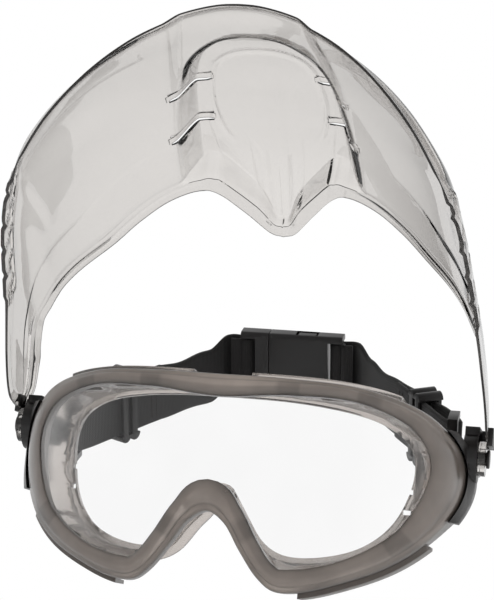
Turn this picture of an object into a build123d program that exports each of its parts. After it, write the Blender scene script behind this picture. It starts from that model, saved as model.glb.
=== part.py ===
from build123d import *
import os
from math import asin, degrees, radians, sin, sqrt

# Over-spectacle safety goggles with a flip-up face shield. Millimetres, +Z up, the front of the
# goggles faces -Y and the head is on the +Y side. The origin is midway between the shield's two
# pivots. "left" and "right" are the wearer's, so left is +X.

# goggle frame
rim_half_width = 88.0
rim_top_z = 17.5
rim_height = 77.0
front_sweep = 59.9       # how far the rim's temples lie behind its middle
front_y = -70.6          # the rim's foremost point
rim_depth = 9.0          # front to back, along Y
rim_round = 1.3          # rounding of the rim's front edges

# lens
lens_thickness = 2.0
lens_setback = 1.5       # lip of rim in front of the lens
groove_depth = 3.0       # how far the lens reaches into the rim
lens_clearance = 0.1
tab_width = 9.0
tab_reach = 1.8          # how far a locating tab stands out of the lens's outline
tab_places = (0.13, 0.27, 0.58, 0.88)   # along half of the outline, from the brow to the nose

# face seal
face_half_width = 67.5
face_top_z = 12.0
face_height = 57.5
face_sweep = 35.4        # how far the face opening's temples lie behind its middle
face_y = -41.0           # the face opening's foremost point
wall = 2.0
wall_inset = 3.0         # from the rim's outline to the seal's outer wall
flange_width = 6.0
flange_thickness = 2.0
vent_size = (8.0, 5.0)   # one vent opening through the seal's wall, across and front to back
vent_count = 3
notch_size = (2.0, 3.0)  # gap in the face flange at the temples, along and into it

# vent covers
cover_rise = 1.8         # how far a cover stands out of the rim's outline
cover_wall = 1.4
cover_depth = 13.0
top_cover_span = (11.0, 64.0)
bottom_cover_span = (34.0, 77.0)

# outriggers
arm_clearance = 0.2
arm_strip = 2.4          # thickness of the strip along the rim's edge
arm_strip_start = 3.0    # from the rim's front to the strip
arm_lip = 2.2            # hook behind the rim
arm_top_z = 8.0
arm_foot_z = -26.5
ear_radius = 9.5
ear_inset = 2.5          # from the rim's temple in to the ear's inner face
cheek_thickness = 2.0
bridge_y = (9.8, 13.4)
bridge_z = (-6.0, 7.0)
block_top = 12.0         # top of the ear's block and of the cheek, above the pivot
block_front = 3.5        # how far the block and the cheek reach forward of the pivot
cheek_low = 5.0          # the cheek's lower edge, above the pivot
fin_reach = 2.4          # how far the fin stands out of the rim's temple
fin_foot_y = -12.0       # the fin's back at its foot

# shield
lug_thickness = 2.6
lug_clearance = 0.3      # each side of the lug, in its fork
lug_offset = 3.4         # from the rim's temple out to the lug's inner face
lug_radius = 6.8
lug_flat_radius = 13.0
lug_foot = (-2.8, -10.0) # Y and Z of the corner where the lug widens into the shield's arm
sheet = 2.0
shield_offset = 2.1      # from the lug's inner face out to the shield's widest outer face
shield_drop = 164.0      # from the pivot down to the chin edge, with the shield down
shield_rest_angle = 125.0   # how far the shield is flipped up at rest
edge_band = 6.0          # width of the thicker band along the goggle-side edge
edge_band_rise = 0.7
band_back = 0.43         # where the band ends, as a share of the shield's radius forward of the pivot
dome_lean = 0.9          # how much narrower the dome gets, both sides together, for each mm outward
dome_foot = 0.87         # share of the shield's radius, from the pivot forward to the dome's foot
dome_reach = 26.0        # from the dome's foot to the ends of its sides
dome_front_radius = 130.0   # curve of the dome's face, seen from above
panel_rise = 0.9
panel_corner = 6.0       # rounding of the panel's corners
slot_size = (13.0, 4.6)
slot_bar = 1.8           # bar across the middle of a vent slot

# pins
pivot_pin_radius = 2.6
pin_head = 1.2
shield_pin_head = 3.6    # radius of the shield pin's head
pin_fixed_clearance = 0.02
pin_running_clearance = 0.06

# strap and its fittings
strap_pin_y = 14.0
strap_pin_radius = 2.1
strap_rise = 27.0        # how far the strap points upward behind the goggles, degrees
strap_width = 25.0
strap_thickness = 1.8
strap_gap = 0.3
strap_turn = 7.0         # radius and run of the strap's turn into the buckle
loop_room = 0.7          # beside the strap, in the clips and the buckle
bar_radius = 1.5
clip_inset = 9.0         # from the rim's temple in to the clip's middle
clip_thickness = 4.0
clip_bar_y = 12.0        # from the strap pin to the clip's bar
clip_post = 2.6
clip_front = (3.5, 7.4)  # the clip's front bar, from the strap pin
strap_tail = 50.0        # doubled-back run, from the clip's bar
slider_place = 28.0      # from the clip's bar to the adjuster
slider_bar = 1.5
slider_bar_width = 3.0
slider_pitch = 5.6       # between the adjuster's two ridges
slider_ridge = 3.0       # radius of a ridge's rounded end

# buckle
buckle_y = 100.0         # from the strap pin, along the strap's level
buckle_shift = -3.0      # sideways
buckle_length = 46.0
plug_base_length = 12.7
buckle_width = 32.0
buckle_thickness = 9.0
buckle_wall = 1.5
buckle_gap = 0.3
prong_room = 12.3        # from a prong's tip to the socket's far end
prong_width = 4.0
prong_place = 11.0       # from the middle of the buckle to a prong
prong_thickness = 4.6
prong_hinge_inset = 2.6  # from the plug's end back to the prong's hinge
prong_pin_radius = 0.9
prong_clearance = 0.25
prong_travel = 11.0      # how far a prong is squeezed in, degrees
tongue_width = 6.0
buckle_bar_inset = 2.5   # from the buckle's end to its bar
buckle_window = 6.6      # length of the strap's window
button_length = 8.0
button_proud = 0.4       # of a prong's button, inside the socket's outline

# The rim's outline, from the middle of the brow round to the middle of the nose arch: share of the
# half width, share of the height down from the top, and the width of the rim there.
rim_shape = (
    (0.000, 0.000, 8.3), (0.295, -0.006, 6.3), (0.590, 0.000, 5.8), (0.840, 0.071, 8.5),
    (0.972, 0.208, 11.6), (1.000, 0.331, 12.0), (0.977, 0.487, 12.0), (0.852, 0.708, 9.4),
    (0.716, 0.838, 8.3), (0.545, 0.935, 7.4), (0.392, 0.994, 8.3), (0.295, 0.997, 8.3),
    (0.227, 0.942, 7.4), (0.148, 0.825, 7.4), (0.074, 0.701, 8.2), (0.000, 0.653, 11.4),
)
# The face opening, point for point with the rim's outline: shares of its half width and height.
face_shape = (
    (0.000, 0.000), (0.326, 0.000), (0.622, 0.021), (0.844, 0.078), (0.970, 0.191), (1.000, 0.313),
    (0.985, 0.487), (0.896, 0.739), (0.756, 0.896), (0.593, 0.974), (0.459, 1.000), (0.356, 0.991),
    (0.259, 0.930), (0.170, 0.791), (0.081, 0.626), (0.000, 0.565),
)

# places and curves that follow from the sizes above
front_radius = (rim_half_width**2 + front_sweep**2) / (2 * front_sweep)
face_radius = (face_half_width**2 + face_sweep**2) / (2 * face_sweep)
ear_inner_x = rim_half_width - ear_inset
fin_reach_x = rim_half_width + fin_reach
lug_x = rim_half_width + lug_offset
clip_x = rim_half_width - clip_inset
shield_radius = lug_x + shield_offset
prong_length = buckle_length - plug_base_length - prong_room
top_zone = (0, rim_top_z + 20)
bottom_zone = (rim_top_z - rim_height - 20, rim_top_z - 0.7 * rim_height)
rim_outline = [(x * rim_half_width, rim_top_z - z * rim_height) for x, z, _ in rim_shape]
rim_bands = [band for _, _, band in rim_shape]
face_outline = [(x * face_half_width, face_top_z - z * face_height) for x, z in face_shape]
front_axis_y = front_y + front_radius
face_axis_y = face_y + face_radius
tall = 400.0             # longer than anything that it cuts


def moved_in(points, distances):
    """The half outline's points, each moved inward along its normal."""
    last = len(points) - 1
    result = []
    for i, (x, z) in enumerate(points):
        before = points[i - 1] if i else (-points[1][0], points[1][1])
        after = points[i + 1] if i < last else (-points[last - 1][0], points[last - 1][1])
        run_x, run_z = after[0] - before[0], after[1] - before[1]
        length = sqrt(run_x**2 + run_z**2)
        result.append((x + run_z / length * distances[i], z - run_x / length * distances[i]))
    return result


def rim_inset(inset):
    return moved_in(rim_outline, [inset] * len(rim_outline))


def opening(grow):
    """The lens opening's half outline, made larger by grow."""
    return moved_in(rim_outline, [band - grow for band in rim_bands])


def face_grown(grow):
    return moved_in(face_outline, [-grow] * len(face_outline))


def half_curve(points, depth=lambda x: 0.0):
    """One smooth curve through a half outline's points, at the depth Y that is given for each X."""
    ends = [(1, 0, 0), (-1, 0, 0)]
    return Spline(*[(x, depth(x), z) for x, z in points], tangents=ends)


def both_halves(curve):
    """The flat face inside a half outline and its mirror image."""
    return Face(Wire([*curve.edges(), *mirror(curve, about=Plane.YZ).edges()]))


def prism(points, start=-120.0, end=60.0):
    """The whole outline, both halves, as a solid that runs front to back."""
    right = half_curve(points, lambda x: start)
    return extrude(both_halves(right), amount=end - start, dir=(0, 1, 0))


def drum(shift, radius=front_radius, axis_y=front_axis_y):
    """Everything behind the front's curve, moved back by shift."""
    return Pos(0, axis_y + shift, 0) * Cylinder(radius, tall)


def slab(x, y, z):
    """A box between two values on each axis."""
    size = [high - low for low, high in (x, y, z)]
    middle = [(low + high) / 2 for low, high in (x, y, z)]
    return Pos(*middle) * Box(*size)


def disc(radius, x_low, x_high, y=0.0, z=0.0):
    """A cylinder that lies across the goggles, between two values of X."""
    place = Pos((x_low + x_high) / 2, y, z) * Rot(0, 90, 0)
    return place * Cylinder(radius, x_high - x_low)


def other_side(shape):
    return mirror(shape, about=Plane.YZ)


def tab_blocks(clearance=0.0):
    """Locating tabs round the lens, front to back through the whole rim."""
    curve = half_curve(opening(groove_depth))
    blocks = []
    for share in tab_places:
        spot, run = curve @ share, curve % share
        place = Plane(origin=(spot.X, front_axis_y - front_radius / 2, spot.Z), x_dir=run,
                      z_dir=(0, -1, 0))
        width, height = tab_width + 2 * clearance, 2 * (tab_reach + clearance)
        block = place * Box(width, height, front_radius + 2 * rim_depth)
        blocks += [block, other_side(block)]
    return blocks


def lens_layer(clearance=0.0):
    outer = front_radius - lens_setback + clearance
    inner = front_radius - lens_setback - lens_thickness - clearance
    return drum(0, outer) - drum(0, inner)


def make_lens():
    plate = prism(opening(groove_depth), end=front_axis_y)
    for block in tab_blocks():
        plate += block & slab((-tall, tall), (front_y - rim_depth, front_axis_y), (-tall, tall))
    return plate & lens_layer()


def make_goggle_frame():
    ring = prism(rim_inset(0), end=front_axis_y) - prism(opening(0))
    ring = (ring & drum(0)) - drum(rim_depth)
    front_edges = [e for e in ring.edges()
                   if abs(sqrt((e @ 0.5).X**2 + ((e @ 0.5).Y - front_axis_y)**2) - front_radius) < 0.5
                   and (e @ 0.5).Y < front_axis_y]
    ring = fillet(front_edges, rim_round)
    groove = prism(opening(groove_depth + lens_clearance), end=front_axis_y)
    for block in tab_blocks(lens_clearance):
        groove += block & slab((-tall, tall), (front_y - rim_depth, front_axis_y), (-tall, tall))
    return ring - (groove & lens_layer(lens_clearance))


def rim_back(x):
    return front_axis_y + rim_depth - sqrt(front_radius**2 - x**2)


def face_front(x):
    middle = face_radius + flange_thickness / 2
    return face_axis_y - sqrt(middle**2 - x**2)


def seal_wall():
    """The seal's wall, ruled from the back of the rim to the face flange."""
    def front(inset):
        return half_curve(rim_inset(inset), lambda x: rim_back(x) - 1.0)

    def rear(grow):
        return half_curve(face_grown(grow), face_front)

    front_outer, front_inner = front(wall_inset), front(wall_inset + wall)
    rear_outer, rear_inner = rear(1.0 + wall), rear(1.0)
    pairs = ((front_outer, rear_outer), (rear_outer, rear_inner), (rear_inner, front_inner),
             (front_inner, front_outer))
    faces = [Face.make_surface_from_curves(a.edge(), b.edge()) for a, b in pairs]
    for end in (0, 1):
        corners = [curve @ end for curve in (front_outer, rear_outer, rear_inner, front_inner)]
        faces.append(Face(Wire(Polyline(*corners, close=True).edges())))
    half = Solid(Shell(faces))
    return (half + other_side(half)) & drum(rim_depth)


def vent_holes():
    """Openings through the seal's top and bottom walls, under the vent covers."""
    across, along = vent_size
    holes = []
    for (low, high), z in ((top_cover_span, top_zone), (bottom_cover_span, bottom_zone)):
        pitch = (high - low) / (vent_count + 0.5)
        for i in range(vent_count):
            x = low + pitch * (i + 0.6)
            y = rim_back(x) + 4.0
            hole = slab((x, x + across), (y, y + along), z)
            holes += [hole, other_side(hole)]
    return holes


def make_face_seal():
    band = prism(face_grown(flange_width)) - prism(face_outline)
    layer = drum(0, face_radius + flange_thickness, face_axis_y) - drum(0, face_radius, face_axis_y)
    flange = band & layer & slab((-tall, tall), (-tall, face_axis_y), (-tall, tall))
    seal = seal_wall() + flange
    for hole in vent_holes():
        seal -= hole
    gap, depth = notch_size
    for z in (face_top_z - 0.50 * face_height, face_top_z - 0.64 * face_height):
        x = face_half_width - depth
        notch = slab((x, x + depth), (face_y, face_axis_y), (z, z + gap))
        seal -= [notch, other_side(notch)]
    return seal


def cover(span, z):
    """A vent cover over the seal's wall, open to the back."""
    outer = prism(rim_inset(-cover_rise)) & drum(rim_depth)
    roof = outer - prism(rim_inset(cover_wall - cover_rise)) - drum(rim_depth + cover_depth)
    web = outer - prism(rim_inset(wall_inset - 0.1)) - drum(rim_depth + cover_wall)
    x_low, x_high = span
    piece = (roof + web) & slab((x_low, x_high), (-tall, tall), z)
    ribs = outer - prism(rim_inset(0)) - drum(rim_depth + cover_depth * 0.6)
    middle = (x_low + x_high) / 2
    for x in (x_low, middle - cover_wall / 2, x_high - cover_wall):
        piece += ribs & slab((x, x + cover_wall), (-tall, tall), z)
    return piece


def make_outrigger():
    """The black arm on the left temple: a strip clipped round the rim's edge, with a fork over the
    shield's lug and a tail that carries the strap's pin."""
    side = slab((rim_half_width / 2, tall), (-tall, tall), (arm_foot_z, arm_top_z))
    behind_rim = rim_depth + 0.15
    edge = prism(rim_inset(-arm_clearance - arm_strip))
    strip = (edge - prism(rim_inset(-arm_clearance))) & drum(arm_strip_start)
    lip = (edge - prism(rim_inset(arm_lip))) & drum(behind_rim)
    hook = (strip + lip) - drum(behind_rim + arm_lip)
    fork_x = (lug_x - lug_clearance, lug_x + lug_thickness + lug_clearance)
    cheek_x = (fork_x[1], fork_x[1] + cheek_thickness)
    block_y, cheek_z = (-block_front, bridge_y[1]), (cheek_low, block_top)
    ear = disc(ear_radius, ear_inner_x, fork_x[0])
    ear += slab((ear_inner_x, fork_x[0]), block_y, (0, block_top))
    cheek = slab(cheek_x, block_y, cheek_z)
    bridge = slab((ear_inner_x, cheek_x[1]), bridge_y, cheek_z)
    link = slab((ear_inner_x, fork_x[0]), (0, bridge_y[1]), bridge_z)
    tail_x = (clip_x + clip_thickness / 2 + 1.4, ear_inner_x + 2.5)
    tail = disc(bridge_z[1] - 0.5, *tail_x, y=strap_pin_y)
    tail += slab(tail_x, (0, strap_pin_y), (-bridge_z[1] + 0.5, bridge_z[1] - 0.5))
    fin_points = ((ear_inner_x - 4, 0), (fin_reach_x, 0), (fin_reach_x - 0.6, 0.3 * arm_foot_z),
                  (fin_reach_x - 3.4, 0.75 * arm_foot_z), (fin_reach_x - 9.8, arm_foot_z),
                  (fin_reach_x - 16, arm_foot_z))
    outline = Polyline(*[(x, -30.0, z) for x, z in fin_points], close=True)
    fin = extrude(Face(Wire(outline.edges())), amount=34.0, dir=(0, 1, 0)) & drum(arm_strip_start)
    side_view = Polyline((0, -60, 1), (0, 4, 1), (0, fin_foot_y, arm_foot_z), (0, -60, arm_foot_z),
                         close=True)
    fin &= extrude(Face(Wire(side_view.edges())), amount=tall, dir=(1, 0, 0))
    arm = (hook & side) + ear + cheek + bridge + link + tail + fin
    # room for the rim, the seal's wall and the two pins
    arm -= prism(rim_inset(-arm_clearance), end=front_axis_y) - drum(behind_rim)
    seal_room = slab((0, ear_inner_x), (-tall, 5), (-tall, tall))
    arm -= prism(rim_inset(wall_inset - 2 * arm_clearance)) & seal_room
    arm -= disc(pivot_pin_radius + pin_fixed_clearance, 0, tall)
    arm -= disc(strap_pin_radius + pin_fixed_clearance, 0, tall, y=strap_pin_y)
    return arm


def make_shield_pin():
    head_face = lug_x + lug_thickness + lug_clearance
    shaft = disc(pivot_pin_radius, ear_inner_x, head_face)
    return shaft + disc(shield_pin_head, head_face, head_face + pin_head)


def make_strap_pin():
    inner = clip_x - clip_thickness / 2 - 0.8
    shaft = disc(strap_pin_radius, inner, ear_inner_x + 2.5, y=strap_pin_y)
    return shaft + disc(strap_pin_radius * 1.7, inner - pin_head, inner, y=strap_pin_y)


# The shield is modelled hanging down, then flipped up to its rest pose. Every outline is given in
# shares: across and front to back of the shield's radius, and down of its drop from the pivot to
# the chin edge.
shield_profile = ((1.005, 0.150), (1.009, 0.050), (1.014, -0.110), (0.991, -0.300),
                  (0.957, -0.490), (0.928, -0.610), (0.875, -0.735), (0.806, -0.830),
                  (0.738, -0.915), (0.692, -0.995), (0.668, -1.040))
# the front's edges, X and Z: the goggle-side edge from the V's tip outward, and the chin edge
goggle_edge = ((0.000, -0.140), (0.059, -0.155), (0.155, -0.232), (0.251, -0.305),
               (0.332, -0.329), (0.460, -0.317), (0.588, -0.280), (0.706, -0.241),
               (0.813, -0.220))
chin_edge = ((0.850, -0.742), (0.815, -0.781), (0.733, -0.843), (0.593, -0.903),
             (0.437, -0.945), (0.216, -0.982), (0.000, -1.000))
# the left side's edges, Y and Z: behind the face opening, and the arm's back edge
arm_front = ((-0.096, -0.006), (-0.225, -0.015), (-0.289, -0.073), (-0.353, -0.146),
             (-0.439, -0.195), (-0.556, -0.223), (-0.684, -0.238))
arm_back = ((0.021, -0.134), (-0.011, -0.238), (-0.080, -0.386), (-0.108, -0.549),
            (-0.149, -0.671), (-0.185, -0.743))
# the dome's face seen from the side, Y and Z, and its foot seen from the front, X and Z
dome_front = ((-0.941, -0.073), (-1.001, -0.159), (-1.048, -0.268), (-1.065, -0.378),
              (-1.043, -0.500), (-0.995, -0.634), (-0.947, -0.756), (-0.898, -0.835),
              (-0.813, -0.890))
dome_outline = ((0.000, -0.061), (0.321, -0.073), (0.390, -0.274), (0.396, -0.457),
                (0.358, -0.628), (0.267, -0.787), (0.128, -0.857), (0.000, -0.866))
panel_corners = ((0.209, -0.421), (0.225, -0.561), (0.155, -0.738), (-0.155, -0.738),
                 (-0.225, -0.561), (-0.209, -0.421))
slot_places = ((0.321, -0.530), (0.289, -0.671))


def placed(shares):
    """Shares of the shield's radius and drop, as millimetres."""
    return [(a * shield_radius, b * shield_drop) for a, b in shares]


def revolved(offset):
    """The shield's barrel, solid to its axis, with its surface moved in by offset."""
    points = [(r - offset, 0, z) for r, z in placed(shield_profile)]
    side = Spline(*points)
    first, last = points[0], points[-1]
    rest = Polyline(last, (0, 0, last[2]), (0, 0, first[2]), first)
    return revolve(Face(Wire([*side.edges(), *rest.edges()])), axis=Axis.Z)


def dome_section(y, inset):
    """The dome's outline at one depth, moved in by inset."""
    points = moved_in(placed(dome_outline), [inset] * len(dome_outline))
    half = Spline(*[(max(x, 0.0), y, z) for x, z in points], tangents=[(1, 0, 0), (-1, 0, 0)])
    return both_halves(half)


def dome(offset):
    """The nose and mouth dome, with its surface moved in by offset."""
    foot_y = -dome_foot * shield_radius
    lean = dome_lean / 2
    body = loft([dome_section(foot_y + dome_reach, offset - lean * dome_reach),
                 dome_section(foot_y - dome_reach, offset + lean * dome_reach)], ruled=True)
    face = [(0, y + offset, z) for y, z in placed(dome_front)]
    centre_y = dome_front_radius - shield_radius
    profile = Spline(*face)
    rest = Polyline(face[-1], (0, centre_y, face[-1][2]), (0, centre_y, face[0][2]), face[0])
    turned = revolve(Face(Wire([*profile.edges(), *rest.edges()])),
                     axis=Axis((0, centre_y, 0), (0, 0, 1)))
    return body & turned


def front_region(drop=0.0):
    """Inside the shield's outline as seen from the front, its goggle-side edge lowered by drop."""
    edge, chin_points = placed(goggle_edge), placed(chin_edge)
    top = Spline(*[(x, 0, z - drop) for x, z in edge], tangents=[(1, 0, 0), (1, 0, 0.3)])
    chin = Spline(*[(x, 0, z) for x, z in chin_points], tangents=[(-0.6, 0, -0.8), (-1, 0, 0)])
    (last_x, last_z), (first_x, first_z) = edge[-1], chin_points[0]
    wide = 1.2 * shield_radius
    outer = Polyline((last_x, 0, last_z - drop), (0.9 * shield_radius, 0, 20), (wide, 0, 20),
                     (wide, 0, first_z), (first_x, 0, first_z))
    middle = Line((0, 0, chin_points[-1][1]), (0, 0, edge[0][1] - drop))
    face = Face(Wire([*top.edges(), *outer.edges(), *chin.edges(), *middle.edges()]))
    half = extrude(face, amount=tall, dir=(0, -1, 0)) + extrude(face, amount=30, dir=(0, 1, 0))
    return half + other_side(half)


def side_region():
    """Inside the shield's outline as seen from the side."""
    front_points, back_points = placed(arm_front), placed(arm_back)
    front = Spline(*[(0, y, z) for y, z in front_points])
    back = Spline(*[(0, y, z) for y, z in back_points])
    near_y, far_y, low = front_points[-1][0], -1.4 * shield_radius, -1.2 * shield_drop
    top = Polyline((0, *front_points[-1]), (0, near_y, 0), (0, far_y, 0), (0, far_y, low), (0, 0, low),
                   (0, *back_points[-1]))
    bottom = Polyline((0, *back_points[0]), (0, *lug_foot), (0, 0, 0), (0, *front_points[0]))
    face = Face(Wire([*front.edges(), *top.edges(), *back.edges(), *bottom.edges()]))
    wide = 1.2 * shield_radius
    return extrude(face, amount=wide, both=True, dir=(1, 0, 0)) + disc(lug_radius, -wide, wide)


def make_shield():
    region = front_region() & side_region()
    inner = revolved(sheet) + dome(sheet)
    shell = (revolved(0) + dome(0) - inner) & region
    far_y, near_y = -1.4 * shield_radius, -band_back * shield_radius
    along = 0.75 * shield_radius
    strip = slab((-along, along), (far_y, near_y), (-0.37 * shield_drop, 0))
    band = (revolved(-edge_band_rise) - inner) & region & strip
    band -= front_region(edge_band)
    corners = [(x, near_y, z) for x, z in placed(panel_corners)]
    outline = FilletPolyline(*corners, radius=panel_corner, close=True)
    panel = extrude(Face(Wire(outline.edges())), amount=tall, dir=(0, -1, 0))
    panel &= dome(-panel_rise) - dome(sheet / 2)
    shield = shell + band + panel
    # flat lugs in place of the curved panels near the pivots
    near_lug = disc(lug_flat_radius, lug_x - 6, lug_x + 6)
    lug = disc(lug_flat_radius, lug_x, lug_x + lug_thickness) & side_region()
    shield = shield - near_lug - other_side(near_lug) + lug + other_side(lug)
    width, height = slot_size
    for x, z in placed(slot_places):
        for part_x in (x - width / 2, x + slot_bar / 2):
            slot = slab((part_x, part_x + (width - slot_bar) / 2), (far_y, near_y),
                        (z - height / 2, z + height / 2))
            shield = shield - slot - other_side(slot)
    shield -= disc(pivot_pin_radius + pin_running_clearance, -tall, tall)
    return shield.rotate(Axis.X, -shield_rest_angle)


def raised(shape):
    """The strap and its fittings are modelled level, then turned up about the strap pins."""
    return shape.rotate(Axis((0, strap_pin_y, 0), (1, 0, 0)), strap_rise)


def strap_line(buckle_end):
    """Unit vectors along and out of one strap half's straight run, with its two ends, in plan."""
    lay = bar_radius + strap_gap + strap_thickness / 2
    start = Vector(clip_x, strap_pin_y + clip_bar_y, 0)
    corner = Vector(buckle_end + strap_turn, strap_pin_y + buckle_y + lay, 0)
    reach = corner - start
    angle = degrees(asin(lay / reach.length))
    along = reach.normalized().rotate(Axis.Z, angle)
    out = along.rotate(Axis.Z, -90)
    return lay, start, corner, along, out


def make_strap(buckle_end):
    """One half of the strap: from its loop round the buckle's bar to its loop round the clip's bar
    and back as a doubled tail."""
    lay, start, corner, along, out = strap_line(buckle_end)
    tail_end = start - out * lay + along * strap_tail
    inner, outer = start - out * lay, start + out * lay
    bar = Vector(buckle_end - buckle_bar_inset, strap_pin_y + buckle_y, 0)
    far, near = bar + Vector(0, lay, 0), bar - Vector(0, lay, 0)
    runs = FilletPolyline(outer, corner, far, radius=strap_turn)
    path = [Line(tail_end, inner), ThreePointArc(inner, start - along * lay, outer),
            *runs.edges(), ThreePointArc(far, bar - Vector(lay, 0, 0), near),
            Line(near, near + Vector(strap_turn, 0, 0))]
    ribbon = trace([edge for item in path for edge in item.edges()], strap_thickness)
    return extrude(ribbon, amount=strap_width / 2, both=True)


def make_clip():
    """The strap's end clip: a hub on the strap pin and a rectangular loop with a round bar."""
    half = strap_width / 2 + loop_room
    low, high = clip_x - clip_thickness / 2, clip_x + clip_thickness / 2
    hub = disc(strap_pin_radius * 2.2, low, high + 1.1, y=strap_pin_y)
    front_low, front_high = (strap_pin_y + run for run in clip_front)
    front = slab((low, high), (front_low, front_high), (-half, half))
    clip = hub + front
    for side in (-1, 1):
        z = sorted((side * half, side * (half + clip_post)))
        clip += slab((low, high), (front_low, strap_pin_y + clip_bar_y + 2), z)
    clip += Pos(clip_x, strap_pin_y + clip_bar_y, 0) * Cylinder(bar_radius, 2 * half)
    return clip - disc(strap_pin_radius + pin_running_clearance, 0, tall, y=strap_pin_y)


def make_slider(buckle_end):
    """The strap's adjuster: ridged bars outside both layers and one bar between them."""
    lay, start, corner, along, out = strap_line(buckle_end)
    place = Plane(origin=start + along * slider_place, x_dir=along, z_dir=(0, 0, 1))
    inside = lay + strap_thickness / 2 + strap_gap
    half = strap_width / 2 + strap_gap
    depth = 2 * (inside + slider_bar)
    bars = Box(slider_bar_width, 2 * (lay - strap_thickness / 2 - strap_gap), 2 * half)
    for x in (-slider_pitch / 2, slider_pitch / 2):
        for y in (-1, 1):
            bars += Pos(x, y * (inside + slider_bar / 2), 0) * Box(slider_bar_width, slider_bar, 2 * half)
        for z in (-1, 1):
            ridge = Pos(x, 0, z * half) * Rot(90, 0, 0) * Cylinder(slider_ridge, depth)
            keep = Pos(x, 0, z * (half + slider_ridge / 2))
            bars += ridge & keep * Box(4 * slider_ridge, depth, slider_ridge)
    return place * bars


def buckle_frame(x_low, x_high, bar_x, window):
    """A buckle half's solid block, with a window and a bar for its strap."""
    y = strap_pin_y + buckle_y
    block = slab((x_low, x_high), (y - buckle_thickness / 2, y + buckle_thickness / 2),
                 (-buckle_width / 2, buckle_width / 2))
    block = fillet(block.edges().filter_by(Axis.X), 2.0)
    half = strap_width / 2 + loop_room
    block -= slab(window, (y - buckle_thickness, y + buckle_thickness), (-half, half))
    return block + Pos(bar_x, y, 0) * Cylinder(bar_radius, 2 * half)


def make_buckle():
    """Socket, plug and the plug's two hinged prongs, as four solids."""
    y = strap_pin_y + buckle_y
    low, high = buckle_shift - buckle_length / 2, buckle_shift + buckle_length / 2
    seam = low + plug_base_length
    bar, window = buckle_bar_inset, buckle_window
    plug = buckle_frame(low, seam, low + bar, (low - 1, low + window))
    socket = buckle_frame(seam + buckle_gap, high, high - bar, (high - window, high + 1))
    hole_y = buckle_thickness / 2 - buckle_wall
    hole_z = buckle_width / 2 - buckle_wall
    deep = high - window - buckle_wall
    socket -= slab((seam, deep), (y - hole_y, y + hole_y), (-hole_z, hole_z))
    tip = seam + prong_length
    button = (tip - button_length, tip)
    socket -= slab((button[0] - 1, button[1] + 1), (y - hole_y, y + hole_y),
                   (-buckle_width, buckle_width))
    half = prong_thickness / 2
    tongue = slab((seam, tip - 2), (y - half, y + half), (-tongue_width / 2, tongue_width / 2))
    plug += tongue
    hinge = seam - prong_hinge_inset
    round_end = prong_width / 2
    turn_room = prong_hinge_inset * sin(radians(prong_travel)) + 0.3
    pivot = Pos(hinge, y, prong_place) * Rot(90, 0, 0)
    pocket_z = (prong_place - round_end - turn_room, prong_place + round_end + prong_clearance)
    pocket = slab((hinge - round_end - prong_clearance, seam + 1),
                  (y - half - prong_clearance, y + half + prong_clearance), pocket_z)
    pin = pivot * Cylinder(prong_pin_radius, buckle_thickness - buckle_wall)
    upper_side = plug - pocket + pin
    plug = upper_side & slab((-tall, tall), (-tall, tall), (0, tall))
    plug += mirror(plug, about=Plane.XY)
    prong = pivot * Cylinder(round_end, prong_thickness)
    prong += slab((hinge, tip), (y - half, y + half), (prong_place - round_end, prong_place + round_end))
    prong += slab(button, (y - half, y + half), (prong_place, buckle_width / 2 - button_proud))
    prong -= pivot * Cylinder(prong_pin_radius + pin_running_clearance, buckle_thickness)
    return socket, plug, prong, mirror(prong, about=Plane.XY)


def make_all():
    left_end = buckle_shift + buckle_length / 2
    right_end = buckle_length / 2 - buckle_shift
    socket, plug, upper, lower = make_buckle()
    nodes = {
        "goggle_frame": make_goggle_frame(),
        "lens": make_lens(),
        "face_seal": make_face_seal(),
        "shield": make_shield(),
        "strap_left": raised(make_strap(left_end)),
        "strap_right": raised(other_side(make_strap(right_end))),
        "slider_left": raised(make_slider(left_end)),
        "slider_right": raised(other_side(make_slider(right_end))),
        "buckle_socket": raised(socket),
        "buckle_plug": raised(plug),
        "buckle_prong_upper": raised(upper),
        "buckle_prong_lower": raised(lower),
    }
    pairs = {
        "top_vent_cover": cover(top_cover_span, top_zone),
        "bottom_vent_cover": cover(bottom_cover_span, bottom_zone),
        "outrigger": make_outrigger(),
        "shield_pin": make_shield_pin(),
        "strap_pin": make_strap_pin(),
        "strap_clip": raised(make_clip()),
    }
    for name, shape in pairs.items():
        nodes[name + "_left"] = shape
        nodes[name + "_right"] = other_side(shape)
    return nodes


os.makedirs("parts", exist_ok=True)
for node, solid in make_all().items():
    export_step(solid, f"parts/{node}.step")
    print(node, len(solid.solids()), round(solid.volume))
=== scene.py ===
import bpy
import bmesh
import math
import numpy as np
from mathutils import Matrix, Vector


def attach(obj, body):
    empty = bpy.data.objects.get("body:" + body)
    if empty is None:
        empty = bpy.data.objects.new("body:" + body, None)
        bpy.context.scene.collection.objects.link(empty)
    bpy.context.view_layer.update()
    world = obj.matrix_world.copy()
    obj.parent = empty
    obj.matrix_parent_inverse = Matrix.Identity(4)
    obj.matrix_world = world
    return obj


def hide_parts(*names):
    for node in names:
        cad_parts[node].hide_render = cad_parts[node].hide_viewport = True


# Safety goggles with a flip-up face shield. Sizes in the dictionaries are millimetres, the scene is
# in metres, and left is the wearer's left (+X).
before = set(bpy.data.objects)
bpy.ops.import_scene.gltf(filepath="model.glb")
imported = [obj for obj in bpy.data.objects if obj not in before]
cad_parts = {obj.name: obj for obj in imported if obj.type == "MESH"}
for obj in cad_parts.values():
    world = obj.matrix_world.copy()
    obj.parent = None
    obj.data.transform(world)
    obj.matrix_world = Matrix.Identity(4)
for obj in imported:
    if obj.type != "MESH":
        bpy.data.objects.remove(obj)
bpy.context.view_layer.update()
scene = bpy.context.scene
mm = 0.001


# helpers

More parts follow.
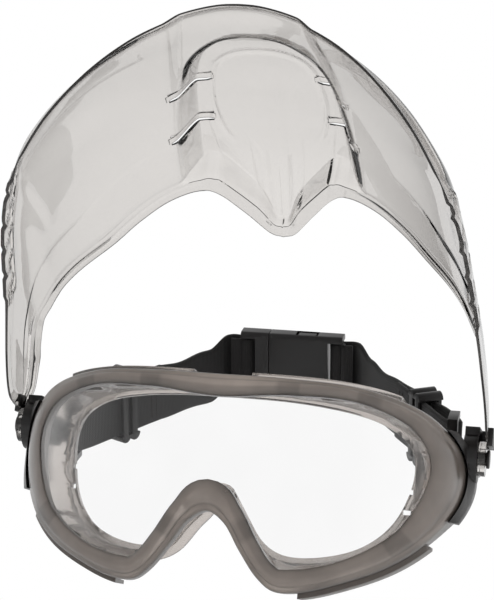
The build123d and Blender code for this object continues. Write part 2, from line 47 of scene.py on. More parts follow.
def smoothStep(t):
    t = np.clip(t, 0.0, 1.0)
    return t * t * (3 - 2 * t)


def curveValue(table, at):
    # a smooth value read from pairs, sorted by their first number
    keys = np.array([pair[0] for pair in table], float)
    values = np.array([pair[1] for pair in table], float)
    slopes = np.gradient(values, keys)
    at = np.clip(np.asarray(at, float), keys[0], keys[-1])
    i = np.clip(np.searchsorted(keys, at) - 1, 0, len(keys) - 2)
    step = keys[i + 1] - keys[i]
    t = (at - keys[i]) / step
    return ((2 * t**3 - 3 * t**2 + 1) * values[i] + (t**3 - 2 * t**2 + t) * step * slopes[i]
            + (-2 * t**3 + 3 * t**2) * values[i + 1] + (t**3 - t**2) * step * slopes[i + 1])


def smoothLine(points, count, closed=False):
    # evenly spaced points on a smooth line through the given ones, in any number of dimensions
    pts = np.array(points, float)
    n = len(pts)
    if closed:
        pts = np.vstack([pts[-3:], pts, pts[:4]])
    gaps = np.maximum(np.sqrt(((pts[1:] - pts[:-1])**2).sum(1)), 1e-9)**0.5
    keys = np.concatenate([[0], np.cumsum(gaps)])
    low, high = (keys[3], keys[3 + n]) if closed else (keys[0], keys[-1])
    fine = np.linspace(low, high, 40 * count)
    dense = np.stack([curveValue(list(zip(keys, pts[:, k])), fine) for k in range(pts.shape[1])], 1)
    run = np.concatenate([[0], np.cumsum(np.sqrt(((dense[1:] - dense[:-1])**2).sum(1)))])
    wanted = np.linspace(0, run[-1], count + 1 if closed else count)
    if closed:
        wanted = wanted[:-1]
    return np.stack([np.interp(wanted, run, dense[:, k]) for k in range(dense.shape[1])], 1)


def distanceTo(line, a, b):
    # shortest distance from each point (a, b) to a line of points
    shape = a.shape
    flat = np.stack([a.ravel(), b.ravel()], 1)
    best = np.full(len(flat), 1e9)
    start, end = line[:-1], line[1:]
    for s, e in zip(start, end):
        run = e - s
        t = np.clip(((flat - s) @ run) / max(run @ run, 1e-12), 0, 1)
        best = np.minimum(best, ((flat - s - t[:, None] * run)**2).sum(1))
    return np.sqrt(best).reshape(shape)


def newPiece(name, vertices, faces, smooth=True):
    mesh = bpy.data.meshes.new(name)
    mesh.from_pydata([tuple(v) for v in vertices], [], faces)
    mesh.validate()
    mesh.update()
    if smooth:
        mesh.shade_smooth()
    obj = bpy.data.objects.new(name, mesh)
    scene.collection.objects.link(obj)
    return obj


def applyModifiers(obj):
    # the modifiers' result becomes the plain mesh
    graph = bpy.context.evaluated_depsgraph_get()
    mesh = bpy.data.meshes.new_from_object(obj.evaluated_get(graph), depsgraph=graph,
                                           preserve_all_data_layers=True)
    obj.modifiers.clear()
    old = obj.data
    obj.data = mesh
    mesh.name = old.name
    bpy.data.meshes.remove(old)
    return obj


def sharpAbove(obj, degrees):
    obj.data.shade_smooth()
    obj.data.set_sharp_from_angle(angle=math.radians(degrees))


def cutOrJoin(obj, other, operation):
    # exact boolean with another piece, which is used up
    mod = obj.modifiers.new("cut", "BOOLEAN")
    mod.operation, mod.solver, mod.object = operation, "EXACT", other
    applyModifiers(obj)
    bpy.data.objects.remove(other)
    return obj


def gridFaces(rows, columns, closedRows=False, closedColumns=False):
    faces = []
    for i in range(rows if closedRows else rows - 1):
        for j in range(columns if closedColumns else columns - 1):
            a, b = i * columns + j, ((i + 1) % rows) * columns + j
            c, d = ((i + 1) % rows) * columns + (j + 1) % columns, i * columns + (j + 1) % columns
            faces.append((a, b, c, d))
    return faces


def finish(obj, body, slot, *nodes):
    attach(obj, body)
    if nodes:
        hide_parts(*nodes)
    return obj


# shader groups that several materials share

def newGroup(name, inputs, outputs):
    group = bpy.data.node_groups.new(name, "ShaderNodeTree")
    for label, kind, value in inputs:
        socket = group.interface.new_socket(label, in_out="INPUT", socket_type=kind)
        if value is not None:
            socket.default_value = value
    for label, kind in outputs:
        group.interface.new_socket(label, in_out="OUTPUT", socket_type=kind)
    return group, group.nodes.new("NodeGroupInput"), group.nodes.new("NodeGroupOutput")


def link(tree, a, b):
    tree.links.new(a, b)


def addNode(tree, kind, **settings):
    node = tree.nodes.new(kind)
    for key, value in settings.items():
        setattr(node, key, value)
    return node


def noiseNode(tree, vector, scale, detail=3.0, rough=0.5):
    node = addNode(tree, "ShaderNodeTexNoise")
    node.inputs["Detail"].default_value = detail
    node.inputs["Roughness"].default_value = rough
    if isinstance(scale, (int, float)):
        node.inputs["Scale"].default_value = scale
    else:
        link(tree, scale, node.inputs["Scale"])
    link(tree, vector, node.inputs["Vector"])
    return node


def mathNode(tree, operation, a, b=None, clamp=False):
    node = addNode(tree, "ShaderNodeMath", operation=operation, use_clamp=clamp)
    for value, socket in ((a, node.inputs[0]), (b, node.inputs[1])):
        if value is None:
            continue
        if isinstance(value, (int, float)):
            socket.default_value = value
        else:
            link(tree, value, socket)
    return node.outputs[0]


def mapRange(tree, value, low, high, newLow, newHigh):
    node = addNode(tree, "ShaderNodeMapRange")
    for key, v in (("From Min", low), ("From Max", high), ("To Min", newLow), ("To Max", newHigh)):
        if isinstance(v, (int, float)):
            node.inputs[key].default_value = v
        else:
            link(tree, v, node.inputs[key])
    link(tree, value, node.inputs["Value"])
    return node.outputs["Result"]


def mixColour(tree, factor, a, b):
    node = addNode(tree, "ShaderNodeMix", data_type="RGBA")
    for value, socket in ((factor, node.inputs[0]), (a, node.inputs[6]), (b, node.inputs[7])):
        if isinstance(value, (int, float, tuple)):
            socket.default_value = value
        else:
            link(tree, value, socket)
    return node.outputs[2]


# moulded plastic: a fine grain, slow drifts of tone and of gloss
def buildMouldedGrain():
    group, start, end = newGroup("mouldedGrain", [
        ("Colour", "NodeSocketColor", (0.5, 0.5, 0.5, 1)), ("Grain Scale", "NodeSocketFloat", 2500.0),
        ("Tone Drift", "NodeSocketFloat", 0.1), ("Roughness", "NodeSocketFloat", 0.4),
        ("Roughness Drift", "NodeSocketFloat", 0.1)],
        [("Colour", "NodeSocketColor"), ("Roughness", "NodeSocketFloat"), ("Height", "NodeSocketFloat")])
    place = addNode(group, "ShaderNodeTexCoord").outputs["Object"]
    fine = noiseNode(group, place, start.outputs["Grain Scale"], 4.0, 0.6)
    slow = noiseNode(group, place, 55.0, 3.0, 0.55)
    drift = mathNode(group, "SUBTRACT", slow.outputs[0], 0.5)
    amount = mathNode(group, "MULTIPLY", drift, start.outputs["Tone Drift"])
    gain = mathNode(group, "ADD", amount, 1.0)
    hue = addNode(group, "ShaderNodeVectorMath", operation="SCALE")
    link(group, start.outputs["Colour"], hue.inputs[0])
    link(group, gain, hue.inputs["Scale"])
    link(group, hue.outputs[0], end.inputs["Colour"])
    gloss = mathNode(group, "MULTIPLY", drift, start.outputs["Roughness Drift"])
    link(group, mathNode(group, "ADD", gloss, start.outputs["Roughness"], True), end.inputs["Roughness"])
    link(group, fine.outputs[0], end.inputs["Height"])
    return group


# clear sheet: haze, faint wiping marks and dust that only change gloss and tone a little
def buildSheetWear():
    group, start, end = newGroup("sheetWear", [
        ("Colour", "NodeSocketColor", (0.8, 0.8, 0.8, 1)), ("Roughness", "NodeSocketFloat", 0.03),
        ("Haze", "NodeSocketFloat", 0.05), ("Speckle", "NodeSocketFloat", 0.04)],
        [("Colour", "NodeSocketColor"), ("Roughness", "NodeSocketFloat"), ("Height", "NodeSocketFloat")])
    place = addNode(group, "ShaderNodeTexCoord").outputs["Object"]
    stretch = addNode(group, "ShaderNodeMapping")
    stretch.inputs["Scale"].default_value = (1.0, 6.0, 6.0)
    link(group, place, stretch.inputs["Vector"])
    wipes = noiseNode(group, stretch.outputs[0], 60.0, 6.0, 0.65)
    fine = noiseNode(group, place, 1400.0, 2.0, 0.5)
    slow = noiseNode(group, place, 30.0, 3.0, 0.5)
    haze = mathNode(group, "MULTIPLY", wipes.outputs[0], start.outputs["Haze"])
    link(group, mathNode(group, "ADD", haze, start.outputs["Roughness"], True), end.inputs["Roughness"])
    speckle = mathNode(group, "MULTIPLY", mathNode(group, "SUBTRACT", fine.outputs[0], 0.5),
                       start.outputs["Speckle"])
    drift = mathNode(group, "MULTIPLY", mathNode(group, "SUBTRACT", slow.outputs[0], 0.5), 0.06)
    gain = mathNode(group, "ADD", mathNode(group, "ADD", speckle, drift), 1.0)
    hue = addNode(group, "ShaderNodeVectorMath", operation="SCALE")
    link(group, start.outputs["Colour"], hue.inputs[0])
    link(group, gain, hue.inputs["Scale"])
    link(group, hue.outputs[0], end.inputs["Colour"])
    link(group, slow.outputs[0], end.inputs["Height"])
    return group


# woven elastic, from the strap's own UV in metres: ribs across, thin threads along
def buildElasticWeave():
    group, start, end = newGroup("elasticWeave", [
        ("Colour", "NodeSocketColor", (0.03, 0.03, 0.03, 1)),
        ("Thread", "NodeSocketColor", (0.07, 0.07, 0.07, 1)),
        ("Rib Pitch", "NodeSocketFloat", 0.0009), ("Thread Pitch", "NodeSocketFloat", 0.0012)],
        [("Colour", "NodeSocketColor"), ("Roughness", "NodeSocketFloat"), ("Height", "NodeSocketFloat")])
    uv = addNode(group, "ShaderNodeUVMap")
    split = addNode(group, "ShaderNodeSeparateXYZ")
    link(group, uv.outputs[0], split.inputs[0])
    along = mathNode(group, "DIVIDE", split.outputs[0], start.outputs["Rib Pitch"])
    across = mathNode(group, "DIVIDE", split.outputs[1], start.outputs["Thread Pitch"])
    rib = mathNode(group, "SINE", mathNode(group, "MULTIPLY", along, 2 * math.pi))
    thread = mathNode(group, "SINE", mathNode(group, "MULTIPLY", across, 2 * math.pi))
    wave = mathNode(group, "MULTIPLY", rib, thread)
    bump = mathNode(group, "ADD", mathNode(group, "MULTIPLY", rib, 0.35),
                    mathNode(group, "MULTIPLY", wave, 0.3))
    fuzz = noiseNode(group, addNode(group, "ShaderNodeTexCoord").outputs["Object"], 1800.0, 3.0, 0.7)
    height = mathNode(group, "ADD", mathNode(group, "ADD", bump, 0.5),
                      mathNode(group, "MULTIPLY", fuzz.outputs[0], 0.4))
    link(group, height, end.inputs["Height"])
    shade = mapRange(group, mathNode(group, "ADD", wave, mathNode(group, "MULTIPLY", fuzz.outputs[0], 0.8)),
                     -0.6, 1.6, 0.0, 1.0)
    threads = mixColour(group, shade, start.outputs["Colour"], start.outputs["Thread"])
    link(group, threads, end.inputs["Colour"])
    link(group, mapRange(group, fuzz.outputs[0], 0.3, 0.7, 0.75, 0.95), end.inputs["Roughness"])
    return group


mouldedGrain, sheetWear, elasticWeave = buildMouldedGrain(), buildSheetWear(), buildElasticWeave()


def newMaterial(name, group, groupInputs, bumpDistance, bumpStrength=1.0, edgeOnShade=None, shade=None, **plain):
    # one Principled shader fed by a shared group; plain values go straight on its sockets
    # edge-on darkening: (colour, power) of painted shade mixed in where a clear sheet is seen edge on; a
    # little of it is the longer path through the tinted sheet, most of it stands in for dark refraction
    # shade: name of a mesh attribute that multiplies the colour
    material = bpy.data.materials.new(name)
    material.use_nodes = True
    tree = material.node_tree
    shader = tree.nodes["Principled BSDF"]
    effect = addNode(tree, "ShaderNodeGroup")
    effect.node_tree = group
    for key, value in groupInputs.items():
        effect.inputs[key].default_value = value
    colour = effect.outputs["Colour"]
    if shade:
        tone = addNode(tree, "ShaderNodeAttribute", attribute_name=shade)
        scaled = addNode(tree, "ShaderNodeVectorMath", operation="SCALE")
        link(tree, colour, scaled.inputs[0])
        link(tree, tone.outputs["Fac"], scaled.inputs["Scale"])
        colour = scaled.outputs[0]
    # painted shade: the colour darkens toward the edge-on colour as the sheet turns edge on
    if edgeOnShade:
        facing = addNode(tree, "ShaderNodeLayerWeight")
        facing.inputs["Blend"].default_value = 0.5
        amount = mathNode(tree, "POWER", facing.outputs["Facing"], edgeOnShade[1])
        colour = mixColour(tree, amount, colour, edgeOnShade[0])
    link(tree, colour, shader.inputs["Base Color"])
    link(tree, effect.outputs["Roughness"], shader.inputs["Roughness"])
    bump = addNode(tree, "ShaderNodeBump")
    bump.inputs["Distance"].default_value = bumpDistance
    bump.inputs["Strength"].default_value = bumpStrength
    link(tree, effect.outputs["Height"], bump.inputs["Height"])
    link(tree, bump.outputs[0], shader.inputs["Normal"])
    for key, value in plain.items():
        shader.inputs[key.replace("_", " ")].default_value = value
    return material


def linear(code):
    # a colour written as its usual six digits
    parts = [int(code[i:i + 2], 16) / 255 for i in (0, 2, 4)]
    return tuple(p / 12.92 if p <= 0.04045 else ((p + 0.055) / 1.055)**2.4 for p in parts) + (1.0,)


blackPlastic = newMaterial("blackPlastic", mouldedGrain,
                           {"Colour": linear("131111"), "Grain Scale": 2600.0, "Tone Drift": 0.35,
                            "Roughness": 0.36, "Roughness Drift": 0.2}, 0.00006, 0.6)
# the dark colour at the end of the settings is painted shade where the shield is seen edge on
clearShield = newMaterial("clearShield", sheetWear,
                          {"Colour": (0.77, 0.745, 0.72, 1), "Roughness": 0.0, "Haze": 0.05,
                           "Speckle": 0.10}, 0.0004, 0.25, ((0.07, 0.06, 0.055, 1), 1.75),
                          Transmission_Weight=1.0, IOR=1.5)
# the clear shield's cut edges: a near-black colour, painted shade standing in for how a clear edge looks dark
# by refraction
shieldEdgeShade = newMaterial("shieldEdgeShade", sheetWear,
                         {"Colour": (0.03, 0.027, 0.025, 1), "Roughness": 0.16, "Haze": 0.1,
                          "Speckle": 0.1}, 0.0004, 0.3, Transmission_Weight=0.3, IOR=1.5)
clearLens = newMaterial("clearLens", sheetWear,
                        {"Colour": (0.97, 0.97, 0.97, 1), "Roughness": 0.0, "Haze": 0.02,
                         "Speckle": 0.02}, 0.0002, 0.2, Transmission_Weight=1.0, IOR=1.45)
# the dark colour at the end of the settings is painted shade where the seal is seen edge on
clearSeal = newMaterial("clearSeal", sheetWear,
                        {"Colour": (0.66, 0.61, 0.575, 1), "Roughness": 0.14, "Haze": 0.12,
                         "Speckle": 0.08}, 0.0004, 0.5, ((0.22, 0.18, 0.15, 1), 2.0),
                        Transmission_Weight=0.9, IOR=1.42)
# the dark colour at the end is painted shade where the frame is seen edge on; the tone attribute carries the
# rim's painted shade and highlight and its lens tabs
smokeFrame = newMaterial("smokeFrame", mouldedGrain,
                         {"Colour": linear("b0a59d"), "Grain Scale": 1600.0, "Tone Drift": 0.8,
                          "Roughness": 0.30, "Roughness Drift": 0.12}, 0.00008, 0.4,
                         ((0.06, 0.05, 0.045, 1), 2.2), "tone", Transmission_Weight=0.62, IOR=1.45,
                         Coat_Weight=0.25, Coat_Roughness=0.12)
# a darker copy of the smoke frame for the bottom vent covers: painted shade under the rim
shadedSmokeFrame = newMaterial("shadedSmokeFrame", mouldedGrain,
                         {"Colour": linear("6a615b"), "Grain Scale": 1600.0, "Tone Drift": 0.3,
                          "Roughness": 0.34, "Roughness Drift": 0.12}, 0.00008, 0.5,
                         Transmission_Weight=0.5, IOR=1.45)
elastic = newMaterial("blackElastic", elasticWeave,
                      {"Colour": linear("080707"), "Thread": linear("1b1818")}, 0.00012, 0.9,
                      Sheen_Weight=0.15, Sheen_Roughness=0.5)


stitchThread = newMaterial("stitchThread", mouldedGrain,
                           {"Colour": linear("2b2827"), "Grain Scale": 3000.0, "Tone Drift": 0.4,
                            "Roughness": 0.8, "Roughness Drift": 0.1}, 0.00005, 0.6)


# the flip-up shield

shieldSizes = {
    "thick": 2.0, "restTurn": -125.0, "lugRadius": 6.8, "lugInner": 91.4, "lugThick": 2.6, "pivotHole": 2.7,
    "band": 5.4, "bandStep": 2.6, "domeWall": 7.5, "domeEndWall": 5.0, "flange": 2.6, "flangeWidth": 6.0,
    "columns": 190, "inner": 92, "slotLong": 14.0, "slotHigh": 5.0, "louvre": 2.6,
}
# outer radius about the upright axis, by height, with the shield down
barrel = [(-170, 62.6), (-163, 64.8), (-150, 68.5), (-136, 75.3), (-120, 82.1), (-100, 86.8), (-80, 89.5),
          (-50, 92.7), (-20, 95.0), (0, 94.6), (12, 94.2)]
# stations from the middle out to the pivot: (x, y, z) on the goggle side and on the chin side
# x is None where the place is given from the side, y is None where it is given from the front
stations = [
    ((0, None, -23), (0, None, -163.7)), ((5.5, None, -25.5), (7.8, None, -163.3)),
    ((14.5, None, -38), (20.2, None, -161.0)), ((23.5, None, -50), (30.3, None, -158.4)),
    ((31, None, -54), (40.9, None, -155)), ((43, None, -52), (55.4, None, -148.1)),
    ((55, None, -46), (68.2, None, -138.2)), ((66, None, -39.5), (76.2, None, -128.1)),
    ((None, -52, -36.5), (None, -17.3, -121.8)), ((None, -44, -34), (None, -13.5, -110)),
    ((None, -38, -29), (None, -10.3, -90.2)), ((None, -33, -24), (None, -8, -64)),
    ((None, -29.5, -17), (None, -1.5, -39)), ((None, -26.5, -10.5), (None, 2, -22)),
    ((None, -19, -2.5), (None, 0.5, -14)), ((None, -6.5, -1), (None, -2.8, -7)),
]
domeRise = [(-170, 0), (-150, 0.8), (-140, 5.4), (-134, 6.8), (-122, 6.8), (-104, 6.9), (-82, 7.9),
            (-62, 7.7),
            (-44, 5.2), (-32, 2.0), (-26, 0.8), (-12, 0)]
domeOutline = [(38.5, -10), (38, -45), (37.5, -75), (34, -103), (26, -128), (13, -140), (0, -142.5),
               (-13, -140), (-26, -128), (-34, -103), (-37.5, -75), (-38, -45), (-38.5, -10)]
panelOutline = [(19, -74), (22.5, -90), (22, -104), (18.5, -117), (11, -123.5), (0, -125.5),
                (-11, -123.5), (-18.5, -117), (-22, -104), (-22.5, -90), (-19, -74), (-12, -66.5), (0, -64.5),
                (12, -66.5)]
slotPlaces = [(30.5, -86), (28, -110)]
unrolled = 90.0      # mm of width for each radian round the barrel


def unroll(place):
    x, y, z = place
    radius = float(curveValue(barrel, z))
    turn = math.asin(x / radius) if y is None else math.acos(max(-1.0, min(1.0, -y / radius)))
    return turn * unrolled, z


def raisedShield(points):
    # from hanging down to the flipped-up rest pose, in metres
    turn = math.radians(shieldSizes["restTurn"])
    x, y, z = points[..., 0], points[..., 1], points[..., 2]
    return np.stack([x, y * math.cos(turn) - z * math.sin(turn), y * math.sin(turn) + z * math.cos(turn)],
                    -1) * mm


def shieldSurface(a, z, fromEdge, fromChin, rise=0.0):
    # the outer face, hanging down, for unrolled places (a, z), rise further out
    sizes = shieldSizes
    radius = curveValue(barrel, z)
    turn = a / unrolled
    x, y = radius * np.sin(turn), -radius * np.cos(turn)
    outline = smoothLine(domeOutline, 160)
    foot = [(-142.5, 0), (-141.6, 7), (-140, 13), (-135, 20.5), (-128, 26), (-115, 31), (-103, 34),
            (-75, 37.5), (-45, 38), (-10, 38.5)]
    inside = (np.abs(x) < curveValue(foot, z)) & (z > -142.5)
    fromDome = distanceTo(outline, x, z) * np.where(inside, 1, -1)
    wall = sizes["domeEndWall"] + (sizes["domeWall"] - sizes["domeEndWall"]) * smoothStep((z + 130) / 50)
    closing = smoothStep((fromEdge - sizes["band"]) / 3.2)
    outward = (curveValue(domeRise, z) + x**2 * 0.0022) * smoothStep(fromDome / wall) * closing
    band = smoothStep((fromEdge - sizes["band"]) / 1.8) * smoothStep((40 - np.abs(a)) / 10.0)
    outward = outward + sizes["bandStep"] * band
    # the bead round the dome's flat panel
    fromPanel = distanceTo(np.vstack([panelLine, panelLine[:1]]), x, z)
    outward = outward + 0.55 * smoothStep(1.6 - fromPanel) * smoothStep((-68 - z) / 14) * (np.abs(x) < 40)
    # the chin edge turns inward, so the sheet bulges just before it
    chinLip = smoothStep(fromChin / sizes["flangeWidth"]) * (1 - smoothStep((fromChin - 5) / 40))
    front = smoothStep((128 - np.abs(a)) / 20.0)
    outward = outward + sizes["flange"] * chinLip * front
    # stepped grip facets on the lower back of each side
    near = smoothStep((10.5 - fromChin) / 1.2) * smoothStep((np.abs(a) - 100) / 4) * (z > -118) * (z < -62)
    slant = (z + 0.55 * fromChin) / 12.5
    groove = np.abs(slant - np.round(slant)) * 12.5
    outward = outward + near * 0.8 * smoothStep((groove - 0.2) / 1.5)
    outward = outward + rise
    side = smoothStep((np.abs(turn) - 0.35) / 0.5)
    x, y = x + outward * np.sin(turn) * side, y - outward * (1 - side + side * np.cos(turn))
    return np.stack([x, y, z], -1)


panelLine = smoothLine(panelOutline, 120, closed=True)


def spread(low, high, count, heavyLow, heavyHigh, weight):
    # count places from low to high, closer together between heavyLow and heavyHigh
    fine = np.linspace(low, high, 2000)
    density = np.where((fine > heavyLow) & (fine < heavyHigh), weight, 1.0)
    run = np.concatenate([[0], np.cumsum(density[1:])])
    return np.interp(np.linspace(0, run[-1], count), run, fine)


def crossSlope(line, across):
    # sine of the angle between a line of points and the rows' direction at each of them
    run = np.gradient(line, axis=0)
    run /= np.sqrt((run**2).sum(1))[:, None]
    return np.maximum(np.abs(run[:, 0] * across[:, 1] - run[:, 1] * across[:, 0]), 0.5)[:, None]


def makeShield():
    sizes = shieldSizes
    half = [(unroll(g), unroll(c)) for g, c in stations]
    keys = np.arange(len(half))

    def atStation(side, where):
        return np.stack([curveValue([(k, half[k][side][n]) for k in keys], where) for n in (0, 1)], 1)

    # the columns are about evenly spaced along the middle, a little closer in front
    fine = np.linspace(0, len(half) - 1, 3000)
    middle = 0.65 * atStation(0, fine) + 0.35 * atStation(1, fine)
    run = np.concatenate([[0], np.cumsum(np.sqrt(((middle[1:] - middle[:-1])**2).sum(1)))])
    where = np.interp(spread(0, run[-1], sizes["columns"], 0, 42, 1.3), run, fine)
    top, low = atStation(0, where), atStation(1, where)
    mirrored = np.array([-1.0, 1.0])
    top = np.vstack([(top * mirrored)[:0:-1], top])
    low = np.vstack([(low * mirrored)[:0:-1], low])
    width = np.sqrt(((low - top)**2).sum(1))[:, None]
    across = (low - top) / width
    topSlope, lowSlope = crossSlope(top, across), crossSlope(low, across)
    narrow = np.minimum(1.0, width / 26.0)
    start = np.array([0, 0.8, 1.8, 2.9, 4.0, 4.9, 5.4, 5.8, 6.2, 6.6, 7.0, 7.5, 8.2, 9.0, 10.0])[None, :]
    start = start * narrow / topSlope
    end = np.array([5.0, 4.0, 3.2, 2.4, 1.6, 0.8, 0.0])[None, :] * narrow / lowSlope
    share = spread(0, 1, sizes["inner"] + 2, 0.22, 0.86, 1.5)[None, 1:-1]
    body = start[:, -1:] + (width - end[:, :1] - start[:, -1:]) * share
    along = np.hstack([start, body, width - end])
    a = top[:, :1] + across[:, :1] * along
    z = top[:, 1:] + across[:, 1:] * along
    points = shieldSurface(a, z, along * topSlope, (width - along) * lowSlope)
    rows, columns = a.shape
    shell = newPiece("shieldShell", points.reshape(-1, 3), gridFaces(rows, columns))
    outward = shell.data.polygons[rows // 2 * (columns - 1) + columns // 2].normal
    if outward.y > 0:
        shell.data.flip_normals()
    shell.data.materials.append(clearShield)
    shell.data.materials.append(shieldEdgeShade)
    thick = shell.modifiers.new("thick", "SOLIDIFY")
    thick.thickness, thick.offset, thick.use_even_offset = sizes["thick"], -1.0, True
    thick.thickness_clamp = 1.0
    # the cut edges take the near-black painted-shade material
    thick.material_offset_rim = 1
    applyModifiers(shell)
    return shell


def discBetween(name, radius, xLow, xHigh, y=0.0, z=0.0, sides=64):
    vertices, faces = [], []
    for x in (xLow, xHigh):
        for i in range(sides):
            turn = 2 * math.pi * i / sides
            vertices.append((x, y + radius * math.cos(turn), z + radius * math.sin(turn)))
    for i in range(sides):
        j = (i + 1) % sides
        faces.append((i, j, sides + j, sides + i))
    faces += [tuple(range(sides))[::-1], tuple(range(sides, 2 * sides))]
    return newPiece(name, vertices, faces, False)


def blockBetween(name, low, high):
    vertices = [(x, y, z) for x in (low[0], high[0]) for y in (low[1], high[1]) for z in (low[2], high[2])]
    faces = [(0, 1, 3, 2), (4, 6, 7, 5), (0, 4, 5, 1), (2, 3, 7, 6), (0, 2, 6, 4), (1, 5, 7, 3)]
    return newPiece(name, vertices, faces, False)


def louvreBar(x, z):
    # the raised strip that bridges a vent slot, following the dome's face
    sizes = shieldSizes
    count = 24
    share = np.linspace(-1, 1, count)
    across = x + share * (sizes["slotLong"] / 2 + 0.8)
    loops = []
    for up, depth in ((-0.5, 0.0), (0.5, 0.0), (0.5, -1.3), (-0.5, -1.3)):
        height = np.full(count, z + up * sizes["louvre"])
        a = np.arcsin(across / curveValue(barrel, height)) * unrolled
        far = np.full(count, 60.0)
        arch = 1.3 * (1 - share**4) - 0.3
        loops.append(shieldSurface(a, height, far, far, depth + arch))
    points = np.stack(loops, 1).reshape(-1, 3)
    faces = gridFaces(count, 4, False, True) + [(0, 1, 2, 3), tuple(range(4 * count - 4, 4 * count))[::-1]]
    bar = newPiece("louvre", points, faces, False)
    bm = bmesh.new()
    bm.from_mesh(bar.data)
    bmesh.ops.recalc_face_normals(bm, faces=bm.faces)
    bm.to_mesh(bar.data)
    bm.free()
    return bar


def buildShield():
    sizes = shieldSizes
    shell = makeShield()
    lugEnds = (sizes["lugInner"], sizes["lugInner"] + sizes["lugThick"])
    for sign in (1, -1):
        low, high = sorted((sign * lugEnds[0], sign * lugEnds[1]))
        cutOrJoin(shell, discBetween("lug", sizes["lugRadius"], low, high), "UNION")
    cutOrJoin(shell, discBetween("pivotHole", sizes["pivotHole"], -120, 120), "DIFFERENCE")
    for x, z in slotPlaces:
        for sign in (1, -1):
            low = sorted((sign * (x - sizes["slotLong"] / 2), sign * (x + sizes["slotLong"] / 2)))
            cutter = blockBetween("slot", (low[0], -130, z - sizes["slotHigh"] / 2),
                                  (low[1], -60, z + sizes["slotHigh"] / 2))
            cutOrJoin(shell, cutter, "DIFFERENCE")
            cutOrJoin(shell, louvreBar(sign * x, z), "UNION")
    points = np.array([v.co for v in shell.data.vertices])
    for vertex, place in zip(shell.data.vertices, raisedShield(points)):
        vertex.co = place
    sharpAbove(shell, 32)
    finish(shell, "shield", "clear_shield", "shield")
    print("shield:", len(shell.data.polygons), "faces")
    return shell


buildShield()


# the goggle rim and lens

rimSizes = {
    "halfWidth": 88.0, "topZ": 17.5, "height": 77.0, "frontRadius": 94.6, "frontY": -70.6, "around": 420,
    "tabPlaces": (0.13, 0.27, 0.58, 0.88), "tabWidth": 9.0, "lensSeat": 3.0, "lensSetback": 1.5,
    "lensThick": 2.0,
}
rimShape = [
    (0.000, 0.000, 8.3), (0.295, -0.006, 6.3), (0.590, 0.000, 5.8), (0.840, 0.071, 8.5),
    (0.972, 0.208, 11.6), (1.000, 0.331, 12.0), (0.977, 0.487, 12.0), (0.852, 0.708, 9.4),
    (0.716, 0.838, 8.3), (0.545, 0.935, 7.4), (0.392, 0.994, 8.3), (0.295, 0.997, 8.3),
    (0.227, 0.942, 7.4), (0.148, 0.825, 7.4), (0.074, 0.701, 8.2), (0.000, 0.653, 11.4),
]


def rimLine(count):
    # the whole outline, with the rim's width as a third number, clockwise from the brow's middle
    sizes = rimSizes
    half = [(x * sizes["halfWidth"], sizes["topZ"] - z * sizes["height"], w) for x, z, w in rimShape]
    whole = half + [(-x, z, w) for x, z, w in half[-2:0:-1]]
    return smoothLine(whole, count, closed=True)


def frontDepth(x, depth):
    sizes = rimSizes
    axis = sizes["frontY"] + sizes["frontRadius"]
    return axis - np.sqrt(np.maximum((sizes["frontRadius"] - depth)**2 - x**2, 1.0))


def inwardNormals(line):
    run = np.roll(line, -1, 0) - np.roll(line, 1, 0)
    run /= np.sqrt((run[:, :2]**2).sum(1))[:, None]
    return np.stack([run[:, 1], -run[:, 0]], 1)


